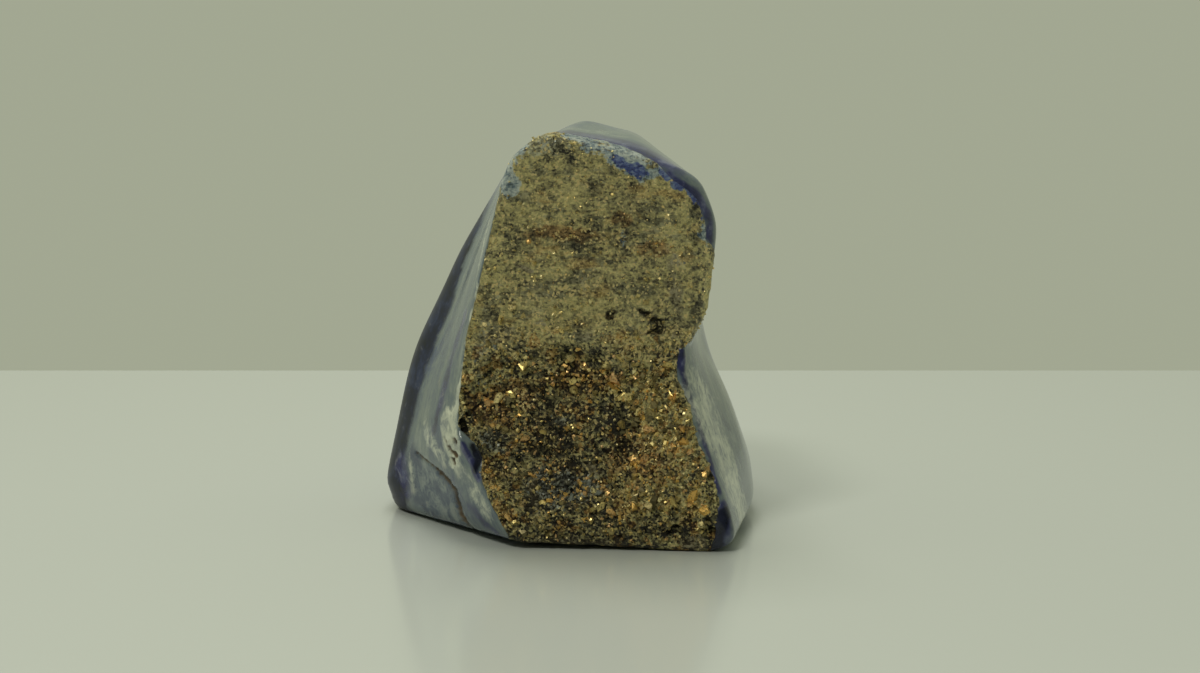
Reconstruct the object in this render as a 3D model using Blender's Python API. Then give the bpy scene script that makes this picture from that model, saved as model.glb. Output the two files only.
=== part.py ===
"""Lapis lazuli freeform: one polished stone whose front end is a raw, pyrite-crusted face.

The stone is lofted. Sixteen rails run from the raw face to the back, and each station
says where they pass. The cells between rails and stations are the ground facets, and a
few rounds of averaging ease the edges between them, as a polishing wheel does. The raw
face and the back are grids stretched inside the first and the last outline.

Everything is in millimetres until the mesh is made. X is to the right of someone who
faces the raw end, Y runs away from them, and Z is up.
"""

import math

import bmesh
import bpy
import numpy as np
from mathutils import Vector, noise

MM = 0.001

# The rails in order round the outline, seen from the raw end: up the left side, along
# the top, down the right side and back under the base. Each has the number of mesh cells
# that lie between it and the next rail.
LEFT_SIDE = (("foot_left", 12), ("left_corner", 8), ("left_mid", 10), ("left_upper", 9))
TOP_SIDE = (("top_left", 5), ("crown", 11), ("top_slope", 7))
RIGHT_SIDE = (
    ("top_right", 5),
    ("shoulder", 10),
    ("lobe", 3),
    ("waist", 5),
    ("waist_low", 8),
    ("flank", 8),
)
UNDER_SIDE = (("bottom_right", 3), ("foot_right", 11), ("foot_mid", 9))
RAILS = LEFT_SIDE + TOP_SIDE + RIGHT_SIDE + UNDER_SIDE
TALL = sum(cells for _, cells in LEFT_SIDE)
WIDE = sum(cells for _, cells in TOP_SIDE)
AROUND = 2 * (TALL + WIDE)

# Each station is a leaning plane, y = depth + lean * z + turn * x, with the rails' (x, z).
FRONT = {
    "depth": -3.0,
    "lean": 0.15,
    "turn": -0.08,
    "foot_left": (-15.6, 1.2),
    "left_corner": (-24.6, 19.5),
    "left_mid": (-23.0, 34.0),
    "left_upper": (-19.3, 50.7),
    "top_left": (-15.4, 65.2),
    "crown": (-9.4, 69.8),
    "top_slope": (6.7, 66.2),
    "top_right": (16.9, 62.3),
    "shoulder": (19.8, 54.8),
    "lobe": (17.9, 39.0),
    "waist": (14.2, 35.6),
    "waist_low": (14.8, 27.6),
    "flank": (18.9, 15.5),
    "bottom_right": (23.4, 2.0),
    "foot_right": (19.0, 0.0),
    "foot_mid": (0.0, 0.8),
}
NEAR = {
    "depth": 22.0,
    "lean": 0.0,
    "turn": 0.0,
    "foot_left": (-32.5, 0.0),
    "left_corner": (-34.2, 12.4),
    "left_mid": (-29.1, 29.6),
    "left_upper": (-22.4, 46.1),
    "top_left": (-15.9, 64.0),
    "crown": (-5.2, 70.2),
    "top_slope": (6.3, 68.4),
    "top_right": (15.7, 61.6),
    "shoulder": (18.5, 52.6),
    "lobe": (17.4, 38.6),
    "waist": (17.6, 32.0),
    "waist_low": (21.4, 24.4),
    "flank": (25.6, 12.6),
    "bottom_right": (27.6, 2.2),
    "foot_right": (23.6, 0.0),
    "foot_mid": (0.0, 0.0),
}
BROAD = {
    "depth": 30.0,
    "lean": 0.0,
    "turn": 0.0,
    "foot_left": (-37.6, 0.0),
    "left_corner": (-39.6, 5.2),
    "left_mid": (-33.9, 29.8),
    "left_upper": (-25.2, 48.2),
    "top_left": (-15.0, 64.6),
    "crown": (-3.2, 71.0),
    "top_slope": (7.0, 68.4),
    "top_right": (15.4, 61.0),
    "shoulder": (18.0, 52.0),
    "lobe": (17.0, 38.0),
    "waist": (19.8, 28.6),
    "waist_low": (23.4, 21.2),
    "flank": (27.2, 10.4),
    "bottom_right": (28.2, 2.4),
    "foot_right": (23.8, 0.0),
    "foot_mid": (-4.0, 0.0),
}
REAR = {
    "depth": 55.0,
    "lean": -0.08,
    "turn": 0.06,
    "foot_left": (-32.5, 0.0),
    "left_corner": (-36.4, 7.2),
    "left_mid": (-30.2, 31.0),
    "left_upper": (-22.0, 47.5),
    "top_left": (-13.0, 60.5),
    "crown": (-3.0, 66.5),
    "top_slope": (7.0, 64.0),
    "top_right": (14.4, 56.5),
    "shoulder": (17.8, 47.0),
    "lobe": (18.6, 37.5),
    "waist": (18.6, 30.0),
    "waist_low": (20.4, 22.5),
    "flank": (25.0, 11.5),
    "bottom_right": (26.4, 3.2),
    "foot_right": (21.8, 0.0),
    "foot_mid": (-4.0, 0.0),
}
BACK = {
    "depth": 76.0,
    "lean": -0.26,
    "turn": 0.12,
    "foot_left": (-24.0, 0.4),
    "left_corner": (-28.0, 8.0),
    "left_mid": (-24.0, 29.0),
    "left_upper": (-18.5, 41.5),
    "top_left": (-11.5, 50.5),
    "crown": (-3.5, 54.5),
    "top_slope": (5.0, 52.0),
    "top_right": (11.0, 46.0),
    "shoulder": (14.4, 38.5),
    "lobe": (16.4, 31.0),
    "waist": (17.6, 25.5),
    "waist_low": (19.0, 19.0),
    "flank": (20.6, 10.5),
    "bottom_right": (20.4, 3.6),
    "foot_right": (16.0, 0.4),
    "foot_mid": (-4.0, 0.4),
}
STATION_CELLS = (6, 3, 5, 5)  # mesh cells between one station and the next

# The radius of the rounded edge between the raw face and the polished sides, by rail.
RIM_RADIUS = {
    "foot_left": 0.9,
    "left_corner": 0.6,
    "left_mid": 0.5,
    "left_upper": 0.6,
    "top_left": 1.2,
    "crown": 1.6,
    "top_slope": 1.8,
    "top_right": 2.0,
    "shoulder": 1.6,
    "lobe": 1.0,
    "waist": 0.8,
    "waist_low": 1.2,
    "flank": 1.4,
    "bottom_right": 1.2,
    "foot_right": 1.0,
    "foot_mid": 1.0,
}
RIM_STEPS = 2
BACK_ROUND = 6.0  # how far the back bulges past its station as its edge turns in
BACK_INSET = 0.2  # share of the way to the middle that the back's edge turns in
BACK_STEPS = 3
BACK_DOME = 2.5
CORNER_ROUNDS = 2  # how often the corners of each outline are averaged
EASING_ROUNDS = 2  # how often all the sides are averaged
SPACING_ROUNDS = 12  # how often a grid's cells are evened out
GROUND_OFF = 0.3  # the base is ground flat up to this height
FACET_WAVE = 16.0  # ground facets are never quite flat: the wave's length and height
FACET_WAVE_HEIGHT = 0.5
FLAT_NEAR_BASE = (1.0, 12.0)  # the wave starts and is full at these heights

# The raw face's forms rise towards the viewer, and their places are (x, z).
RELIEF_FADE = 9.0  # they die out over this depth along the sides
BORDER = 0.07  # share of the face over which its fine lumps fade towards the rim
HOLLOW_CENTRE = (-8.0, 20.0)
HOLLOW_REACH = (16.5, 14.5)
HOLLOW_DEPTH = 3.0
HOLLOW_LIP = (1.1, 0.66)  # the lip's start and end, as shares of the reach
HOLLOW_RAGGED = 0.14
HOLLOW_FOOT = (3.0, 18.0)  # below this the floor comes forward again
STRIP_START = 12.5  # right of this the upper slab turns back
STRIP_SLOPE = 0.6
STRIP_FOOT = (34.0, 39.0)
BANDS = ((52.0, 3.5, -0.7), (6.0, 6.0, 0.9))  # height up the face, half width and rise
LUMPS = ((9.0, 1.1), (5.0, 0.7))  # length and height of each set of lumps
LEDGE_PITCH = 6.5
LEDGE_HEIGHT = 0.6
LEDGE_SLANT = 0.35
LEDGE_WANDER = 1.4
LEDGE_RISE = 0.8  # share of the pitch over which a ledge climbs before it breaks off
# x, z, radius and depth of the deeper pits
PITS = (
    (1.7, 39.8, 1.8, 1.3),
    (8.9, 38.6, 1.8, 1.4),
    (10.2, 35.2, 1.8, 1.3),
    (-5.2, 31.4, 1.8, 0.9),
    (-19.5, 27.0, 2.6, 0.7),
    (-1.7, 7.4, 2.0, 1.0),
    (7.5, 4.8, 2.0, 0.9),
    (-23.8, 20.6, 2.0, 1.8),
)


def smooth_step(start, end, value):
    """Goes from 0 at start to 1 at end, level at both."""
    t = min(max((value - start) / (end - start), 0.0), 1.0)
    return t * t * (3.0 - 2.0 * t)


def rough(x, z, length, layer):
    """Smooth noise from -1 to 1 with forms of about this length, a new pattern in each layer."""
    return noise.noise(Vector((x / length, layer, z / length)))


def outline(station):
    """The station's outline as AROUND points (x, y, z), a rail's cells evenly spaced."""
    points = []
    for index, (name, cells) in enumerate(RAILS):
        start = np.array(station[name])
        end = np.array(station[RAILS[(index + 1) % len(RAILS)][0]])
        for cell in range(cells):
            x, z = start + (end - start) * cell / cells
            y = station["depth"] + station["lean"] * z + station["turn"] * x
            points.append((x, y, z))
    return np.array(points)


def eased_ring(ring):
    """The outline with its corners rounded by one round of averaging."""
    return ring / 2 + (np.roll(ring, 1, axis=0) + np.roll(ring, -1, axis=0)) / 4


def rim_radii():
    """The rim's radius at each point of the outline."""
    radii = []
    for index, (name, cells) in enumerate(RAILS):
        after = RAILS[(index + 1) % len(RAILS)][0]
        for cell in range(cells):
            share = cell / cells
            radii.append(RIM_RADIUS[name] * (1 - share) + RIM_RADIUS[after] * share)
    return np.array(radii)


def side_rows():
    """Rows of points along the polished sides, from the rim to the back's edge."""
    outlines = [outline(station) for station in (FRONT, NEAR, BROAD, REAR, BACK)]
    for _ in range(CORNER_ROUNDS):
        outlines = [eased_ring(ring) for ring in outlines]
    rows = []
    for index, cells in enumerate(STATION_CELLS):
        for cell in range(cells):
            share = cell / cells
            rows.append(outlines[index] * (1 - share) + outlines[index + 1] * share)
    rows.append(outlines[-1])
    rows[0][:, 1] += rim_radii()
    return rows + back_rows(outlines[-1])


def back_rows(last):
    """Rows that turn the sides in to the back's edge along a quarter ellipse."""
    centre = last.mean(axis=0)
    rows = []
    for step in range(1, BACK_STEPS + 1):
        angle = math.pi / 2 * step / BACK_STEPS
        inset = BACK_INSET * (1 - math.cos(angle))
        row = last + (centre - last) * np.array((inset, 0.0, inset))
        row[:, 1] += BACK_ROUND * math.sin(angle)
        rows.append(row)
    return rows


def eased(rows):
    """Averages every point with its four neighbours, except on the first and last row."""
    grid = np.array(rows)
    for _ in range(EASING_ROUNDS):
        around = np.roll(grid, 1, axis=1) + np.roll(grid, -1, axis=1)
        inner = grid[1:-1] / 2 + (around[1:-1] + grid[:-2] + grid[2:]) / 8
        grid = np.concatenate((grid[:1], inner, grid[-1:]))
    return grid


def rim_rows(first):
    """Rows from the raw face's border out to the sides, along a quarter circle."""
    tangent = np.roll(first, -1, axis=0) - np.roll(first, 1, axis=0)
    inward = np.stack((tangent[:, 2], np.zeros(AROUND), -tangent[:, 0]), axis=1)
    inward /= np.linalg.norm(inward, axis=1)[:, None]
    radii = rim_radii()
    rows = []
    for step in range(RIM_STEPS):
        angle = math.pi / 2 * step / RIM_STEPS
        row = first + inward * (radii * (1 - math.sin(angle)))[:, None]
        row[:, 1] -= radii * math.cos(angle)
        rows.append(row)
    return rows


def ring_place(column, row):
    """Where a border point of a grid lies along the outline, or None inside the grid."""
    if column == 0:
        return row
    if row == TALL:
        return TALL + column
    if column == WIDE:
        return 2 * TALL + WIDE - row
    if row == 0:
        return (2 * TALL + 2 * WIDE - column) % AROUND
    return None


def stretched_grid(ring):
    """A grid of points inside the ring: a Coons patch between its four sides, evened out."""
    left = ring[: TALL + 1]
    top = ring[TALL : TALL + WIDE + 1]
    right = ring[TALL + WIDE : 2 * TALL + WIDE + 1][::-1]
    under = np.concatenate((ring[2 * TALL + WIDE :], ring[:1]))[::-1]
    grid = np.zeros((WIDE + 1, TALL + 1, 3))
    for column in range(WIDE + 1):
        u = column / WIDE
        for row in range(TALL + 1):
            v = row / TALL
            across = (1 - u) * left[row] + u * right[row]
            upward = (1 - v) * under[column] + v * top[column]
            low = (1 - u) * left[0] + u * right[0]
            high = (1 - u) * left[-1] + u * right[-1]
            grid[column, row] = across + upward - (1 - v) * low - v * high
    for _ in range(SPACING_ROUNDS):
        sideways = grid[:-2, 1:-1] + grid[2:, 1:-1]
        grid[1:-1, 1:-1] = (sideways + grid[1:-1, :-2] + grid[1:-1, 2:]) / 4
    return grid


def hollow(x, z):
    """The hollow under the upper slab, with a ragged lip."""
    across = (x - HOLLOW_CENTRE[0]) / HOLLOW_REACH[0]
    up = (z - HOLLOW_CENTRE[1]) / HOLLOW_REACH[1]
    away = math.hypot(across, up) + HOLLOW_RAGGED * rough(x, z, 8.0, 1.3)
    return -HOLLOW_DEPTH * smooth_step(*HOLLOW_LIP, away) * smooth_step(*HOLLOW_FOOT, z)


def broad_relief(x, z):
    """The raw face's large forms."""
    rise = hollow(x, z) - STRIP_SLOPE * max(x - STRIP_START, 0.0) * smooth_step(*STRIP_FOOT, z)
    for height, half_width, band_rise in BANDS:
        rise += band_rise * math.exp(-(((z - height) / half_width) ** 2))
    return rise


def fine_relief(x, z):
    """The crust's lumps, and ledges that climb slowly and break off."""
    rise = sum(height * rough(x, z, length, 3.7) for length, height in LUMPS)
    phase = (z + LEDGE_SLANT * x) / LEDGE_PITCH + LEDGE_WANDER * rough(x, z, 9.0, 8.1)
    return rise + LEDGE_HEIGHT * (smooth_step(0.0, LEDGE_RISE, phase % 1.0) - 0.5)


def pits(x, z):
    """The deeper pits, each a round dent."""
    depth = 0.0
    for pit_x, pit_z, radius, deep in PITS:
        away = math.hypot(x - pit_x, z - pit_z) / radius
        depth += deep * math.exp(-away * away)
    return -depth


def face_relief(grid):
    """How far each point of the raw face's grid comes forward, softened once between cells."""
    rise = np.zeros((WIDE + 1, TALL + 1))
    for column in range(WIDE + 1):
        for row in range(TALL + 1):
            x, _, z = grid[column, row]
            edge = min(column / WIDE, 1 - column / WIDE, row / TALL, 1 - row / TALL)
            inside = smooth_step(0.0, BORDER, edge)
            rise[column, row] = broad_relief(x, z) + fine_relief(x, z) * inside + pits(x, z)
    soft = rise.copy()
    around = rise[:-2, 1:-1] + rise[2:, 1:-1] + rise[1:-1, :-2] + rise[1:-1, 2:]
    soft[1:-1, 1:-1] = rise[1:-1, 1:-1] / 2 + around / 8
    return soft


def carve_raw_face(grid, rows, rim_count):
    """Moves the raw face's points along the face's normal, and the rim's with them."""
    outward = np.array((FRONT["turn"], -1.0, FRONT["lean"]))
    outward /= np.linalg.norm(outward)
    grid += face_relief(grid)[..., None] * outward
    start = rows[rim_count, :, 1].copy()
    for index, ring in enumerate(rows):
        behind = np.zeros(AROUND) if index < rim_count else ring[:, 1] - start
        for place in range(AROUND):
            x, _, z = ring[place]
            share = 1 - smooth_step(0.0, RELIEF_FADE, behind[place])
            ring[place] += outward * share * (broad_relief(x, z) + pits(x, z))


def wave_the_sides(rows, rim_count):
    """A slow unevenness of the ground facets, none of it under the flat base."""
    for ring in rows[rim_count:]:
        centre = ring.mean(axis=0)
        for place in range(AROUND):
            point = ring[place]
            out = point - centre
            out[1] = 0.0
            out /= np.linalg.norm(out)
            height = FACET_WAVE_HEIGHT * smooth_step(*FLAT_NEAR_BASE, point[2])
            ring[place] += out * height * noise.noise(Vector(point / FACET_WAVE))


def dome(grid):
    """Bulges the back, most in its middle and not at all along its edge."""
    for column in range(WIDE + 1):
        u = column / WIDE
        for row in range(TALL + 1):
            v = row / TALL
            grid[column, row, 1] += BACK_DOME * 16 * u * (1 - u) * v * (1 - v)


def stone_points():
    """The raw face's grid, the rows of the sides and the back's grid."""
    sides = eased(side_rows())
    rim = rim_rows(sides[0])
    rows = np.concatenate((rim, sides))
    wave_the_sides(rows, len(rim) + 1)
    face = stretched_grid(rows[0])
    carve_raw_face(face, rows, len(rim))
    back = stretched_grid(rows[-1])
    dome(back)
    for points in (face, rows, back):
        points[..., 2] = np.maximum(points[..., 2] - GROUND_OFF, 0.0)
    return face, rows, back


def add_grid(mesh, grid, ring):
    """Adds a grid whose border is the ring's vertices."""
    vertices = {}
    for column in range(WIDE + 1):
        for row in range(TALL + 1):
            place = ring_place(column, row)
            inner = place is None
            vertices[column, row] = mesh.verts.new(grid[column, row]) if inner else ring[place]
    for column in range(WIDE):
        for row in range(TALL):
            corners = ((column, row), (column + 1, row), (column + 1, row + 1), (column, row + 1))
            mesh.faces.new([vertices[corner] for corner in corners])


def stone_mesh():
    face, rows, back = stone_points()
    mesh = bmesh.new()
    rings = [[mesh.verts.new(point) for point in row] for row in rows]
    for near, far in zip(rings, rings[1:], strict=False):
        for place in range(AROUND):
            after = (place + 1) % AROUND
            mesh.faces.new((near[place], near[after], far[after], far[place]))
    add_grid(mesh, face, rings[0])
    add_grid(mesh, back, rings[-1])
    bmesh.ops.recalc_face_normals(mesh, faces=mesh.faces)
    centre_on_base(mesh)
    data = bpy.data.meshes.new("lapis_freeform")
    mesh.to_mesh(data)
    mesh.free()
    return data


def centre_on_base(mesh):
    """Puts the origin under the middle of the stone's box, on the base, and turns to metres."""
    low = Vector([min(vertex.co[axis] for vertex in mesh.verts) for axis in range(3)])
    high = Vector([max(vertex.co[axis] for vertex in mesh.verts) for axis in range(3)])
    middle = (low + high) / 2
    middle.z = low.z
    for vertex in mesh.verts:
        vertex.co = (vertex.co - middle) * MM


def stone_material():
    material = bpy.data.materials.new("lapis")
    material.use_nodes = True
    shader = material.node_tree.nodes["Principled BSDF"]
    shader.inputs["Base Color"].default_value = (0.045, 0.075, 0.2, 1.0)
    shader.inputs["Roughness"].default_value = 0.18
    shader.inputs["Metallic"].default_value = 0.0
    return material


def main():
    for old in list(bpy.data.objects):
        bpy.data.objects.remove(old)
    data = stone_mesh()
    data.shade_smooth()
    data.materials.append(stone_material())
    stone = bpy.data.objects.new("lapis_freeform", data)
    bpy.context.scene.collection.objects.link(stone)


main()
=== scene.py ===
# %% [markdown]
# # Lapis lazuli freeform
# The stone is one polished lump of lapis with one end left raw, under a crust of pyrite grains.
# The CAD solid already has the stone's size, its ground facets and the crust's lumps and hollow.
# This lesson keeps that solid as the frame and dresses a finer copy of it.

# %% Load the stone
import math

import bpy
import numpy as np
from mathutils import Matrix, Vector, noise


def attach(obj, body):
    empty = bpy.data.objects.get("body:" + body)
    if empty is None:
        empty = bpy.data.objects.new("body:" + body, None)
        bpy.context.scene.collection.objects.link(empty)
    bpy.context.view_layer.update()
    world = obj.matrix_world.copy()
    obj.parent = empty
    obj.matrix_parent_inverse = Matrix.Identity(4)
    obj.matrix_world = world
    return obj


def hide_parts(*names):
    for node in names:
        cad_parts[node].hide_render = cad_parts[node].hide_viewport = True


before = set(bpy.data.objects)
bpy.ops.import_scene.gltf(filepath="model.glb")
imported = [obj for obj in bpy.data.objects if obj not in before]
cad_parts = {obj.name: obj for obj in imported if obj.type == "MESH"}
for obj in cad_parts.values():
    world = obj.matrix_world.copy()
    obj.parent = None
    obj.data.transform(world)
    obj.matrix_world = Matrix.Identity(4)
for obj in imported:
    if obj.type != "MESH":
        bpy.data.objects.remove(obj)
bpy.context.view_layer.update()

MM = 0.001
cad_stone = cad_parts["lapis_freeform"]

# %% [markdown]
# ## Camera
# The raw end is seen from a little above, with a long lens. A long lens flattens depth, so the
# sides that run back from the raw face look narrow. The camera is aimed at the middle of that
# face, which isn't the middle of the stone.

# %% Camera
CAMERA_LIFT = math.radians(8.0)
CAMERA_DISTANCE = 400 * MM
CAMERA_AIM = Vector((5.5, -39.3, 35.7)) * MM

away = Vector((0.0, -math.cos(CAMERA_LIFT), math.sin(CAMERA_LIFT)))
bpy.ops.object.camera_add(
    location=CAMERA_AIM + away * CAMERA_DISTANCE,
    rotation=(math.pi / 2 - CAMERA_LIFT, 0.0, 0.0),
)
camera = bpy.context.object
camera.data.lens = 72.0
camera.data.sensor_width = 36.0
camera.data.clip_start = 0.01
bpy.context.scene.camera = camera
print("the camera is", round(camera.location.z / MM), "mm above the table")

# %% [markdown]
# ## Table, backdrop and light
# Polished stone shows what stands round it, so the setting is part of the finish. A glossy pale
# table lies under the stone, the world gives an even pale backdrop, and two soft boxes hang over
# it. The smaller one is there for the glints on the crust. The world is dimmer in front of the
# stone than behind it, so the raw end stays dark against the pale table, but the camera sees the
# full backdrop everywhere.

# %% Table
TABLE_BACK = 154 * MM
TABLE_SIDE = 600 * MM
TABLE_THICK = 30 * MM

bpy.ops.object.select_all(action="DESELECT")
bpy.ops.mesh.primitive_cube_add(
    size=1.0,
    location=(0.0, (TABLE_BACK - TABLE_SIDE) / 2, -TABLE_THICK / 2),
    scale=(2 * TABLE_SIDE, TABLE_BACK + TABLE_SIDE, TABLE_THICK),
)
table = bpy.context.object
table.name = "table"
bpy.ops.object.transform_apply(location=True, rotation=True, scale=True)
table_finish = bpy.data.materials.new("table_gloss")
table_finish.use_nodes = True
gloss = table_finish.node_tree.nodes["Principled BSDF"]
gloss.inputs["Base Color"].default_value = (0.585, 0.62, 0.60, 1.0)
gloss.inputs["Roughness"].default_value = 0.16
table.data.materials.append(table_finish)
print("the table is", round(2 * TABLE_SIDE / MM), "mm wide")

# %% Light
BACKDROP = (0.363, 0.388, 0.287, 1.0)
FRONT_SHARE = 0.18
DIMMEST_Y = -0.7
FULL_Y = 0.1

world = bpy.data.worlds.new("pale_room")
world.use_nodes = True
room = world.node_tree
direction = room.nodes.new("ShaderNodeTexCoord")
parts = room.nodes.new("ShaderNodeSeparateXYZ")
room.links.new(direction.outputs["Generated"], parts.inputs[0])
falloff = room.nodes.new("ShaderNodeMapRange")
falloff.inputs["From Min"].default_value = DIMMEST_Y
falloff.inputs["From Max"].default_value = FULL_Y
falloff.inputs["To Min"].default_value = FRONT_SHARE
room.links.new(parts.outputs["Y"], falloff.inputs["Value"])
seen = room.nodes.new("ShaderNodeLightPath")
level = room.nodes.new("ShaderNodeMath")
level.operation = "MAXIMUM"
room.links.new(falloff.outputs[0], level.inputs[0])
room.links.new(seen.outputs["Is Camera Ray"], level.inputs[1])
room.nodes["Background"].inputs["Color"].default_value = BACKDROP
room.links.new(level.outputs[0], room.nodes["Background"].inputs["Strength"])
bpy.context.scene.world = world
bpy.context.scene.view_settings.view_transform = "Standard"


def soft_box(name, place, size, watts, aim=(0.0, 0.0, 0.03)):
    """A square area light at place that faces aim, all in metres."""
    bpy.ops.object.light_add(type="AREA", location=place)
    light = bpy.context.object
    light.name = name
    light.rotation_mode = "QUATERNION"
    light.rotation_quaternion = (Vector(aim) - Vector(place)).to_track_quat("-Z", "Y")
    light.data.size = size
    light.data.energy = watts
    light.data.color = (1.0, 0.98, 0.86)
    return light


soft_box("ceiling_box", (-0.08, 0.26, 0.68), 0.36, 2.5)
soft_box("glint_box", (-0.24, -0.42, 0.62), 0.15, 1.8)

# %% [markdown]
# ## A finer copy of the stone
# The CAD solid is made of loose triangles about 1.7 mm wide. They are enough for the shape but
# too coarse for the crust. A copy is joined up, turned back to four-sided faces and smoothed with
# a Subdivision Surface. The raw end then gets two more cuts of its own, because only the crust
# needs faces as small as its grains, and so does the polished facet at its lower left, for the
# narrow crack there. The edge of the flat base is creased so it stays crisp.

# %% Join the copy's faces
stone = bpy.data.objects.new("lapis_stone", cad_stone.data.copy())
bpy.context.scene.collection.objects.link(stone)
bpy.ops.object.select_all(action="DESELECT")
bpy.context.view_layer.objects.active = stone
stone.select_set(True)
bpy.ops.object.mode_set(mode="EDIT")
bpy.context.tool_settings.mesh_select_mode = (False, False, True)
bpy.ops.mesh.select_all(action="SELECT")
bpy.ops.mesh.remove_doubles(threshold=0.00001)
bpy.ops.mesh.tris_convert_to_quads(
    face_threshold=math.radians(50), shape_threshold=math.radians(80)
)
bpy.ops.mesh.normals_make_consistent(inside=False)
bpy.ops.object.mode_set(mode="OBJECT")
print("joined copy:", len(stone.data.vertices), "points,", len(stone.data.polygons), "faces")


# %% Select by place
RAW_FACE_AHEAD = 41.8
RAW_FACE_LEAN = 0.15
RAW_FACE_TURN = 0.08


def face_centres():
    """The middle of every face of the stone, in millimetres."""
    centres = np.zeros(len(stone.data.polygons) * 3)
    stone.data.polygons.foreach_get("center", centres)
    return centres.reshape(-1, 3) / MM


def select_faces(chosen):
    """Selects these faces of the stone and nothing else, and goes to edit mode."""
    bpy.ops.object.mode_set(mode="EDIT")
    bpy.ops.mesh.select_all(action="DESELECT")
    bpy.ops.object.mode_set(mode="OBJECT")
    stone.data.polygons.foreach_set("select", chosen)
    bpy.ops.object.mode_set(mode="EDIT")


def behind_face(places):
    """How far each place is behind the raw face's leaning plane, in millimetres."""
    ahead = places[:, 1] + RAW_FACE_AHEAD
    return ahead - RAW_FACE_LEAN * places[:, 2] + RAW_FACE_TURN * places[:, 0]


print("faces on the raw end:", int((behind_face(face_centres()) < 1.0).sum()))

# %% Smooth the copy and refine its raw end
BASE_HEIGHT = 0.01
RIM_DEPTH = 2.6
FACET_DEPTH = 20.0
FACET_RIGHT = -7.0
FACET_TOP = 22.0
FINE_CUTS = 2

select_faces(face_centres()[:, 2] < BASE_HEIGHT)
bpy.ops.mesh.region_to_loop()
bpy.ops.transform.edge_crease(value=1.0)
bpy.context.tool_settings.mesh_select_mode = (False, False, True)
bpy.ops.object.mode_set(mode="OBJECT")
rounding = stone.modifiers.new("rounding", "SUBSURF")
rounding.levels = rounding.render_levels = 1
bpy.ops.object.modifier_apply(modifier=rounding.name)

for _ in range(FINE_CUTS):
    centres = face_centres()
    depth = behind_face(centres)
    low_left = (centres[:, 0] < FACET_RIGHT) & (centres[:, 2] < FACET_TOP) & (depth < FACET_DEPTH)
    select_faces((depth < RIM_DEPTH) | (low_left & (centres[:, 2] > BASE_HEIGHT)))
    bpy.ops.mesh.subdivide(number_cuts=1, smoothness=1.0)
    bpy.ops.object.mode_set(mode="OBJECT")
print("refined copy:", len(stone.data.vertices), "points,", len(stone.data.polygons), "faces")

# %% [markdown]
# ## Painting masks
# The stone's markings are painted on its points, as with a soft brush, and the material reads
# each layer by name. A stroke is an oval on the raw face: its place, its half width and half
# height, its turn and its strength. A streak is a soft line on the polished sides: its half
# width, its strength and its points. Noise bends them all, so no edge looks drawn. The crust
# itself is an outline, because it ends along an edge that wanders round the whole face.

# %% Outlines of the crust and its hollow
CRUST_EDGE = (
    (-18.6, 19.9), (-18.3, 24.5), (-17.6, 30.4), (-17.1, 34.7), (-15.1, 42.9), (-12.7, 53.7),
    (-11.5, 59.4), (-10.9, 63.5), (-9.6, 67.5), (-5.0, 69.6), (1.4, 69.3), (6.5, 67.8),
    (11.0, 66.2), (15.0, 64.2), (17.6, 61.6), (20.2, 59.6), (22.2, 57.6), (23.2, 54.3),
    (23.5, 51.0), (25.4, 49.1), (25.6, 41.6), (24.3, 37.0), (20.5, 34.1), (18.6, 33.6),
    (18.5, 28.7), (20.6, 23.7), (22.0, 17.8), (24.2, 13.2), (25.4, 8.6), (25.0, 5.3),
    (24.4, 2.0), (23.7, -0.7), (5.5, -2.0), (-9.3, -0.6), (-10.0, 2.4), (-11.7, 5.3),
    (-13.4, 8.6), (-14.5, 11.9), (-14.4, 14.9), (-15.7, 17.1), (-17.6, 18.9),
)
HOLLOW_EDGE = (
    (-18.2, 19.8), (-16.2, 23.4), (-13.7, 26.5), (-10.4, 28.8), (-6.2, 30.8), (-0.4, 33.5),
    (5.5, 33.1), (9.6, 29.8), (12.1, 25.1), (13.8, 18.5), (14.6, 13.0), (12.5, 7.0),
    (6.0, 4.0), (-4.0, 3.0), (-9.0, 4.0), (-12.0, 9.0), (-14.5, 13.0), (-16.0, 17.5),
)
print("outlines:", len(CRUST_EDGE), "and", len(HOLLOW_EDGE), "points")

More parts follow.
